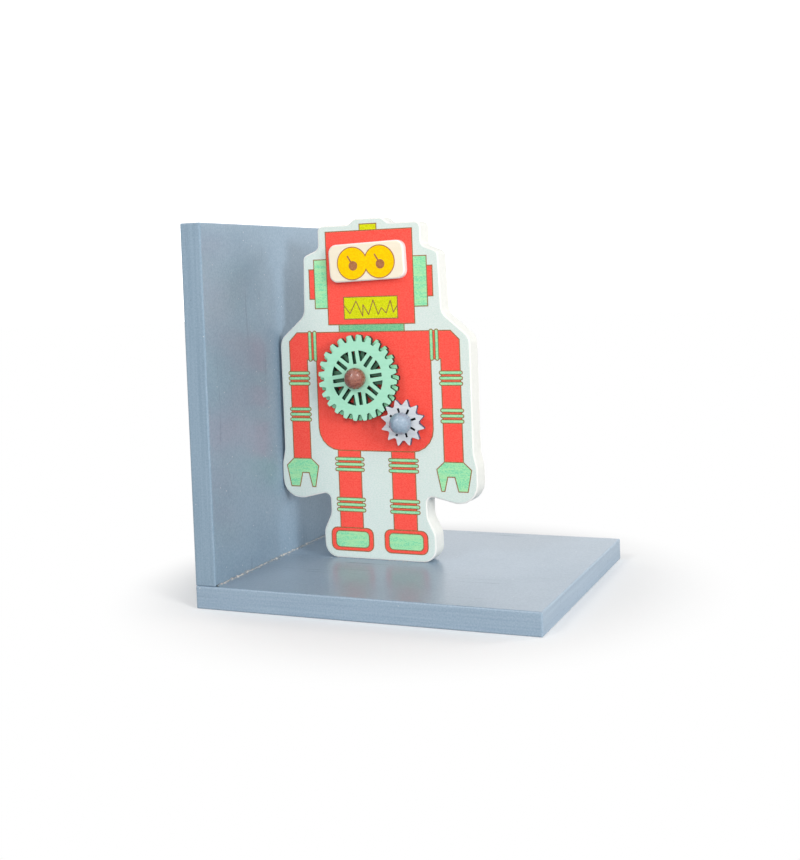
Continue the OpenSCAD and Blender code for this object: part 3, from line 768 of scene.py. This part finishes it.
@dataclass
class PaintedStand:
    """The L of painted board, its screws and the dried glue in its corner."""

    bead_radius: float = 0.88 * MM
    bead_sides: int = 12
    bead_rings: int = 180
    lump_size: float = 1.8 * MM
    lump_height: float = 1.6 * MM
    lump_middle: float = 0.72
    panel_gap: float = 0.01 * MM
    smooth_angle: float = math.radians(50)
    corner_crumbs: int = 90
    corner_spread: float = 2.2 * MM
    foot_crumbs: int = 26
    foot_spread: float = 1.6 * MM
    foot_share: float = 0.3
    crumb_radius: float = 0.34 * MM
    crumb_flatness: float = 0.55
    crumb_width: Span = (0.4, 1.3)
    crumb_height: Span = (0.4, 1.0)
    seed: int = 11

    def build(self) -> None:
        """Dresses the panels and screws, and models the glue."""
        self.paint_panel("base_panel", Direction.ACROSS_Z, Direction.ALONG_X, "#8398ab", "#98abbb")
        # The upright's paint is a darker copy of the base's: painted shade, as both panels carry one paint.
        self.paint_panel("upright_panel", Direction.ACROSS_X, Direction.ALONG_Z, "#788fa1", "#8ca1b2")
        steel = ZincSteel().material()
        for node in ("upright_screws", "figure_screws"):
            dress_node(node, steel)
        self.build_glue()

    @staticmethod
    def paint_panel(node: str, ridges: Direction, scuffs: Direction, deep: str, light: str) -> None:
        """Paints one panel.

        Args:
            node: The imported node.
            ridges: The way that the ridges of its sawn edges run.
            scuffs: The way that its scuffs run.
            deep: Darker tone of the paint.
            light: Lighter tone of the paint.
        """
        low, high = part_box(node)
        centre = tuple((low + high) / 2)
        half_size = tuple((high - low) / 2)
        paint = PanelPaint(f"{node}_paint", centre, half_size, ridges, scuffs, deep, light)
        dress_node(node, paint.material())

    def build_glue(self) -> None:
        """Models the glue: a lumpy bead in the corner, with crumbs beside it and at the robot's feet."""
        low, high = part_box("glue_bead")
        corner = Vector((low.x, (low.y + high.y) / 2, low.z))
        bead = self.lumpy_bead(corner, high.y - low.y)
        crumbs = [bead, *self.scattered_crumbs(corner, low.y, high.y)]
        bpy.ops.object.select_all(action="DESELECT")
        for piece in crumbs:
            piece.select_set(True)
        bpy.context.view_layer.objects.active = bead
        bpy.ops.object.join()
        settle(bead)
        bpy.ops.object.shade_smooth_by_angle(angle=self.smooth_angle)
        dress(bead, DriedGlue().material())
        seat(bead, STAND_BODY, "glue_bead")

    def lumpy_bead(self, corner: Vector, length: float) -> bpy.types.Object:
        """Models the bead.

        Args:
            corner: Middle of the inner corner.
            length: Length of the bead.

        Returns:
            The bead, cut flush with both panels.
        """
        bpy.ops.object.select_all(action="DESELECT")
        bpy.ops.mesh.primitive_cylinder_add(
            vertices=self.bead_sides,
            radius=self.bead_radius,
            depth=length,
            location=corner,
            rotation=(QUARTER_TURN, 0, 0),
        )
        bead = bpy.context.object
        bead.name = "dried_glue_bead"
        settle(bead)
        for edge in bead.data.edges:
            a, b = (bead.data.vertices[i].co for i in edge.vertices)
            edge.select = abs(a.y - b.y) > length / 2
        for part in (*bead.data.vertices, *bead.data.polygons):
            part.select = False
        with editing(bead, "EDGE"):
            bpy.ops.mesh.subdivide(number_cuts=self.bead_rings)
        self.add_lumps(bead)
        with editing(bead):
            for normal in ((1, 0, 0), (0, 0, 1)):
                bpy.ops.mesh.select_all(action="SELECT")
                start = corner + self.panel_gap * Vector(normal)
                bpy.ops.mesh.bisect(plane_co=start, plane_no=normal, clear_inner=True, use_fill=True)
        return bead

    def add_lumps(self, bead: bpy.types.Object) -> None:
        """Swells and shrinks the bead along its length."""
        lumps = bpy.data.textures.new("glue_lumps", "CLOUDS")
        lumps.noise_scale = self.lump_size
        lumps.noise_depth = 3
        displace = bead.modifiers.new("lumps", "DISPLACE")
        displace.texture = lumps
        displace.texture_coords = "GLOBAL"
        displace.strength = self.lump_height
        displace.mid_level = self.lump_middle
        apply_modifier(bead, displace)

    def scattered_crumbs(self, corner: Vector, front: float, back: float) -> list[bpy.types.Object]:
        """Scatters crumbs of glue along the corner and in front of the robot's foot.

        Args:
            corner: Middle of the inner corner.
            front: Front end of the corner.
            back: Back end of the corner.

        Returns:
            The crumbs, each with its own mesh.
        """
        draw = random.Random(self.seed)
        foot_low, foot_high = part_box("figure_board")
        middle = (foot_low.x + foot_high.x) / 2
        reach = (foot_high.x - foot_low.x) * self.foot_share
        places = []
        for _ in range(self.corner_crumbs):
            along_x = corner.x + draw.random() ** 2 * self.corner_spread
            places.append(Vector((along_x, draw.uniform(front, back), corner.z)))
        for _ in range(self.foot_crumbs):
            along_x = middle + draw.uniform(-reach, reach)
            places.append(Vector((along_x, foot_low.y - draw.random() ** 2 * self.foot_spread, corner.z)))
        bpy.ops.object.select_all(action="DESELECT")
        bpy.ops.mesh.primitive_ico_sphere_add(subdivisions=2, radius=self.crumb_radius, location=(0, 0, 0))
        first = bpy.context.object
        first.scale.z = self.crumb_flatness
        settle(first)
        spans = (self.crumb_width, self.crumb_width, self.crumb_height)
        made = []
        for at in places:
            crumb = first.copy()
            crumb.data = first.data.copy()
            bpy.context.scene.collection.objects.link(crumb)
            crumb.location = at
            crumb.rotation_euler.z = draw.uniform(0, math.tau)
            crumb.scale = [draw.uniform(*span) for span in spans]
            made.append(crumb)
        bpy.data.objects.remove(first)
        return made


@dataclass
class PrintedRobot:
    """The cut-out board with its printed face."""

    edge_ease: float = 0.45 * MM
    inks: dict[str, Print] = field(
        default_factory=lambda: {
            "face_sheet": Print("pale_sheet", ink="#cddcd5", thin="#dce3de", blotch="#cadad3", blotches=0.5),
            "red_ink": Print("red_print", ink="#f65045", thin="#fa6457", blotch="#f1493f"),
            "green_ink": Print("green_print", ink="#74d1a3", thin="#afe6b0", blotch="#b8e1a2", blotches=0.6),
            "neck_ink": Print("deep_green_print", ink="#61b48b", thin="#8fc999", blotch="#65b482"),
            "yellow_ink": Print(
                "yellow_print", ink="#c8cd07", thin="#e1e027", blotch="#b5bd10", blotches=0.6
            ),
            "line_ink": Print("line_print", ink="#8b5d34", thin="#a78056", blotch="#806038"),
        }
    )

    def build(self) -> None:
        """Models the board with eased white edges and dresses the print."""
        board = copy_of_node("figure_board", "robot_board")
        ease_edges(board, self.edge_ease, segments=3, from_angle=40)
        white = CutPaint(
            "white_edge_paint", face="#eceae5", shade="#e8e6e2", wall="#e2e2dc", wall_shade="#ddded8"
        )
        dress(board, white.material())
        seat(board, STAND_BODY, "figure_board")
        for node, ink in self.inks.items():
            dress_node(node, ink.material())


@dataclass
class EyePlate:
    """The raised cream plate with its two dials."""

    edge_ease: float = 0.28 * MM

    def build(self) -> None:
        """Models the plate with softened edges and dresses its print."""
        plate = copy_of_node("eye_plate", "eye_panel")
        ease_edges(plate, self.edge_ease, segments=3, from_angle=25)
        cream = CutPaint(
            "cream_paint",
            face="#ede2cc",
            shade="#ece0c8",
            wall="#f3efec",
            wall_shade="#ece7e7",
            roughness=0.4,
            turn=0.78,
        )
        dress(plate, cream.material())
        seat(plate, STAND_BODY, "eye_plate")
        gold = Print("gold_print", ink="#fac000", thin="#ffd40a", blotch="#f5b800", blotches=0.25)
        brown = Print("brown_print", ink="#a0653f", thin="#b57d55", blotch="#985c38")
        dress_node("eye_gold_ink", gold.material())
        dress_node("eye_brown_ink", brown.material())


@dataclass
class GearPair:
    """The two-layer spoked gear, the star gear beside it and the pegs that they turn on."""

    edge_ease: float = 0.16 * MM
    ball_radius: float = 4.5 * MM
    shank_radius: float = 2.0 * MM
    seat_rise: float = 1.8 * MM
    rim_ease: float = 0.25 * MM
    flat_reach: float = 0.01 * MM
    flat_facing: float = 0.99
    window_reach: float = 13.0 * MM
    vent_reach: float = 6.3 * MM
    sunk_depth: float = 0.2 * MM
    face_depth: float = -0.1 * MM

    def build(self) -> None:
        """Models and dresses the gears and the pegs, and dresses the spacers."""
        front, back, silver = self.gear_paints()
        self.build_gear("big_gear_front", "large_gear_front", "big_gear", front.material())
        self.build_gear("big_gear_back", "large_gear_back", "big_gear", back.material())
        self.build_gear("small_gear", "star_gear", "small_gear", silver.material())
        brown = Lacquer(
            "brown_lacquer",
            light="#a2614b",
            deep="#6b3226",
            roughness=0.12,
            coat=0.8,
            coat_roughness=0.07,
            dent_depth=0.45 * MM,
        )
        grey = Lacquer(
            "grey_lacquer", light="#98aaba", deep="#8294a6", roughness=0.24, coat=0.35, coat_roughness=0.16
        )
        self.build_peg("big_gear_peg", "brown_ball_peg", brown.material())
        self.build_peg("small_gear_peg", "grey_ball_peg", grey.material())
        birch = CutPaint(
            "bare_birch", face="#dec79e", shade="#cdb284", wall="#d3bb90", wall_shade="#b99a6a", roughness=0.6
        )
        birch_film = birch.material()
        for node in ("big_gear_spacer", "small_gear_spacer"):
            dress_node(node, birch_film)

    def gear_paints(self) -> tuple[CutPaint, CutPaint, CutPaint]:
        """Returns the paints of the large gear's front and back layer and of the small gear."""
        # The gears' walls are far darker than their faces: deep green on the mint layers, navy to near-black
        # on the silver gear.
        front = CutPaint(
            "mint_front_paint",
            face="#a5dcc0",
            shade="#9fd8bb",
            wall="#1e4d3d",
            wall_shade="#0d251f",
            roughness=0.45,
        )
        back = CutPaint(
            "mint_back_paint",
            face="#9fe4bb",
            shade="#8fd9ab",
            wall="#173b35",
            wall_shade="#0b1a18",
            # Painted shade: the back layer's face and all behind it near the hub are darkened where the front
            # layer shades them in the windows.
            painted_shade=self.hub_shade("big_gear_back", self.window_reach, self.face_depth, "#0c2a20", share=0.8),
        )
        silver = CutPaint(
            "silver_paint",
            face="#d2d5d8",
            shade="#c4c8cd",
            wall="#456d8c",
            wall_shade="#131b24",
            roughness=0.4,
            # Painted shade: the vent floors and all else deeper near the hub are painted near-black for the
            # shade in the vents.
            painted_shade=self.hub_shade("small_gear", self.vent_reach, self.sunk_depth, "#07090c", share=1.0),
        )
        return front, back, silver

    @staticmethod
    def hub_shade(node: str, radius: float, depth: float, painted_shade: str, share: float) -> HubShade:
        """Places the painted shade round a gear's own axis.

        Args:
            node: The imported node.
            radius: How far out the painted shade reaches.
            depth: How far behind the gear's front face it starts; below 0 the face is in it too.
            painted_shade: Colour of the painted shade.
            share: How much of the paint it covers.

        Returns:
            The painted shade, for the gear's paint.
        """
        low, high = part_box(node)
        return HubShade(tuple((low + high) / 2), radius, low.y + depth, painted_shade, share)

    def build_gear(self, node: str, name: str, body: str, film: bpy.types.Material) -> None:
        """Models one gear layer with eased edges.

        Args:
            node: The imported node.
            name: Name of the piece.
            body: The body that turns with it.
            film: Its finish.
        """
        gear = copy_of_node(node, name)
        ease_edges(gear, self.edge_ease, segments=2, from_angle=50)
        dress(gear, film)
        seat(gear, body, node)

    def build_peg(self, node: str, name: str, film: bpy.types.Material) -> None:
        """Models a ball-headed peg: a ball cut flat at its seat, with a shank drawn out of the flat.

        Args:
            node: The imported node.
            name: Name of the piece.
            film: Its finish.
        """
        low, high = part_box(node)
        middle = Vector(((low.x + high.x) / 2, low.y + self.ball_radius, (low.z + high.z) / 2))
        seat_y = middle.y + self.seat_rise
        seat_radius = math.sqrt(self.ball_radius**2 - self.seat_rise**2)
        bpy.ops.object.select_all(action="DESELECT")
        bpy.ops.mesh.primitive_uv_sphere_add(
            segments=56,
            ring_count=32,
            radius=self.ball_radius,
            location=middle,
            rotation=(QUARTER_TURN, 0, 0),
        )
        peg = bpy.context.object
        peg.name = name
        settle(peg)
        with editing(peg, "FACE"):
            bpy.ops.mesh.select_all(action="SELECT")
            cut = (middle.x, seat_y, middle.z)
            bpy.ops.mesh.bisect(plane_co=cut, plane_no=(0, 1, 0), clear_outer=True, use_fill=True)
        for face in peg.data.polygons:
            face.select = abs(face.center.y - seat_y) < self.flat_reach and face.normal.y > self.flat_facing
        with editing(peg, "FACE"):
            bpy.ops.mesh.inset(thickness=seat_radius - self.shank_radius)
            bpy.ops.mesh.extrude_region_move(TRANSFORM_OT_translate={"value": (0, high.y - seat_y, 0)})
        ease_edges(peg, self.rim_ease, segments=3, from_angle=40)
        dress(peg, film)
        seat(peg, STAND_BODY, node)


# Studio


@dataclass(frozen=True)
class SoftBox:
    """One large soft lamp, aimed at the object."""

    name: str
    place: Point
    size: float
    power: float
    mirrored: bool = True
    aim: Point = (0.0, 0.0, 0.06)

    def build(self) -> None:
        """Adds the lamp."""
        data = bpy.data.lights.new(self.name, "AREA")
        data.shape = "DISK"
        data.size = self.size
        data.energy = self.power
        lamp = bpy.data.objects.new(self.name, data)
        bpy.context.scene.collection.objects.link(lamp)
        lamp.location = self.place
        lamp.visible_glossy = self.mirrored
        lamp.rotation_euler = (Vector(self.aim) - Vector(self.place)).to_track_quat("-Z", "Y").to_euler()


@dataclass
class Studio:
    """Pale floor, white surround and soft lamps."""

    floor_size: float = 6.0
    opening: float = 0.1
    opening_lip: float = 1.0 * MM
    shaded_to: float = 0.07
    plain_from: float = 0.13
    ambient: float = 0.3
    mirrored: float = 1.58
    white: str = "#ffffff"
    bounce: str = "#d0d0d0"
    lamps: tuple[SoftBox, ...] = (
        SoftBox("right_softbox", (1.84, -1.06, 0.57), size=0.6, power=20.7, mirrored=False),
        SoftBox("right_high_softbox", (1.46, -0.84, 1.41), size=0.6, power=7.0),
        SoftBox("front_softbox", (0.86, -1.94, 0.57), size=1.0, power=16.0, mirrored=False),
        SoftBox("left_softbox", (-0.58, -1.58, 1.41), size=0.6, power=9.3),
        SoftBox("rear_softbox", (1.69, 1.19, 0.75), size=0.6, power=10.9, mirrored=False),
        SoftBox("back_softbox", (-1.9, 1.2, 0.3), size=1.2, power=11.0, mirrored=False),
    )

    def build(self) -> None:
        """Sets up the floor, the surround, the lamps and the colour view."""
        bpy.context.scene.view_settings.view_transform = "Standard"
        self.build_floor()
        self.build_surround()
        for lamp in self.lamps:
            lamp.build()

    def build_floor(self) -> None:
        """Adds the floor, which is open under the base, so that the object's underside shows from below."""
        bpy.ops.object.select_all(action="DESELECT")
        bpy.ops.mesh.primitive_plane_add(size=self.floor_size, location=(0, 0, 0))
        floor = bpy.context.object
        floor.name = "studio_floor"
        low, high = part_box("base_panel")
        length, depth, _ = (high - low) / self.opening
        lips = 2 * self.opening_lip / self.opening
        with editing(floor, "FACE"):
            bpy.ops.mesh.select_all(action="SELECT")
            bpy.ops.mesh.inset(thickness=(self.floor_size - self.opening) / 2)
            bpy.ops.transform.resize(value=(length - lips, depth - lips, 1.0))
            bpy.ops.mesh.delete(type="FACE")
        dress(floor, self.floor_finish())

    def floor_finish(self) -> bpy.types.Material:
        """Returns a matt white that takes shadows near the object and runs out into plain white."""
        material = bpy.data.materials.new("studio_white")
        material.use_nodes = True
        sheet = NodeSheet(material.node_tree)
        material.node_tree.nodes.clear()
        x, y, _ = sheet.parts(sheet.place())
        square = sheet.math("ADD", sheet.math("MULTIPLY", x, x), sheet.math("MULTIPLY", y, y))
        path = sheet.add("ShaderNodeLightPath")
        outer = sheet.span(sheet.math("SQRT", square), self.shaded_to, self.plain_from)
        glow_share = sheet.math("MULTIPLY", outer, path.outputs["Is Camera Ray"])
        matt = sheet.add("ShaderNodeBsdfDiffuse")
        tone = sheet.mix(path.outputs["Is Diffuse Ray"], linear(self.white), linear(self.bounce))
        sheet.put(matt.inputs["Color"], tone)
        glow = sheet.add("ShaderNodeEmission")
        output = sheet.add("ShaderNodeOutputMaterial")
        sheet.put(output.inputs["Surface"], sheet.blend(glow_share, matt, glow))
        return material

    def build_surround(self) -> None:
        """Sets the world: white where it is seen or mirrored, and softer where it lights the object."""
        world = bpy.data.worlds.new("white_surround")
        bpy.context.scene.world = world
        world.use_nodes = True
        sheet = NodeSheet(world.node_tree)
        world.node_tree.nodes.clear()
        path = sheet.add("ShaderNodeLightPath")
        seen = sheet.math("MAXIMUM", path.outputs["Is Camera Ray"], path.outputs["Is Glossy Ray"])
        seen = sheet.math("MAXIMUM", seen, path.outputs["Is Transmission Ray"])
        soft = sheet.add("ShaderNodeBackground")
        bright = sheet.add("ShaderNodeBackground")
        for light, strength in ((soft, self.ambient), (bright, self.mirrored)):
            light.inputs["Color"].default_value = linear(self.white)
            light.inputs["Strength"].default_value = strength
        output = sheet.add("ShaderNodeOutputWorld")
        sheet.put(output.inputs["Surface"], sheet.blend(seen, soft, bright))


@dataclass(frozen=True)
class PhotoCamera:
    """The camera, at the photograph's viewing angle."""

    place: Point = (0.1909, -0.4605, 0.1267)
    azimuth: float = 23.04
    dip: float = 2.54
    roll: float = -2.11
    focal_px: float = 1219.2
    axis_px: tuple[float, float] = (400.0, 330.0)
    frame_px: tuple[float, float] = (800.0, 860.0)
    sensor_mm: float = 36.0

    def build(self) -> None:
        """Adds the camera and makes it the scene's own."""
        data = bpy.data.cameras.new("photo_camera")
        long_side = max(self.frame_px)
        data.sensor_width = self.sensor_mm
        data.lens = self.focal_px / long_side * self.sensor_mm
        data.shift_x = (self.frame_px[0] / 2 - self.axis_px[0]) / long_side
        data.shift_y = (self.axis_px[1] - self.frame_px[1] / 2) / long_side
        data.clip_start = 0.01
        camera = bpy.data.objects.new("photo_camera", data)
        bpy.context.scene.collection.objects.link(camera)
        turn = Matrix.Rotation(math.radians(self.azimuth), 4, "Z")
        tilt = Matrix.Rotation(math.radians(90 - self.dip), 4, "X")
        roll = Matrix.Rotation(math.radians(self.roll), 4, "Z")
        camera.matrix_world = Matrix.Translation(self.place) @ turn @ tilt @ roll
        bpy.context.scene.camera = camera


def main() -> None:
    """Builds the object, then the studio round it."""
    logging.basicConfig(level=logging.INFO, format="%(message)s")
    PaintedStand().build()
    PrintedRobot().build()
    EyePlate().build()
    GearPair().build()
    Studio().build()
    PhotoCamera().build()


if __name__ == "__main__":
    main()
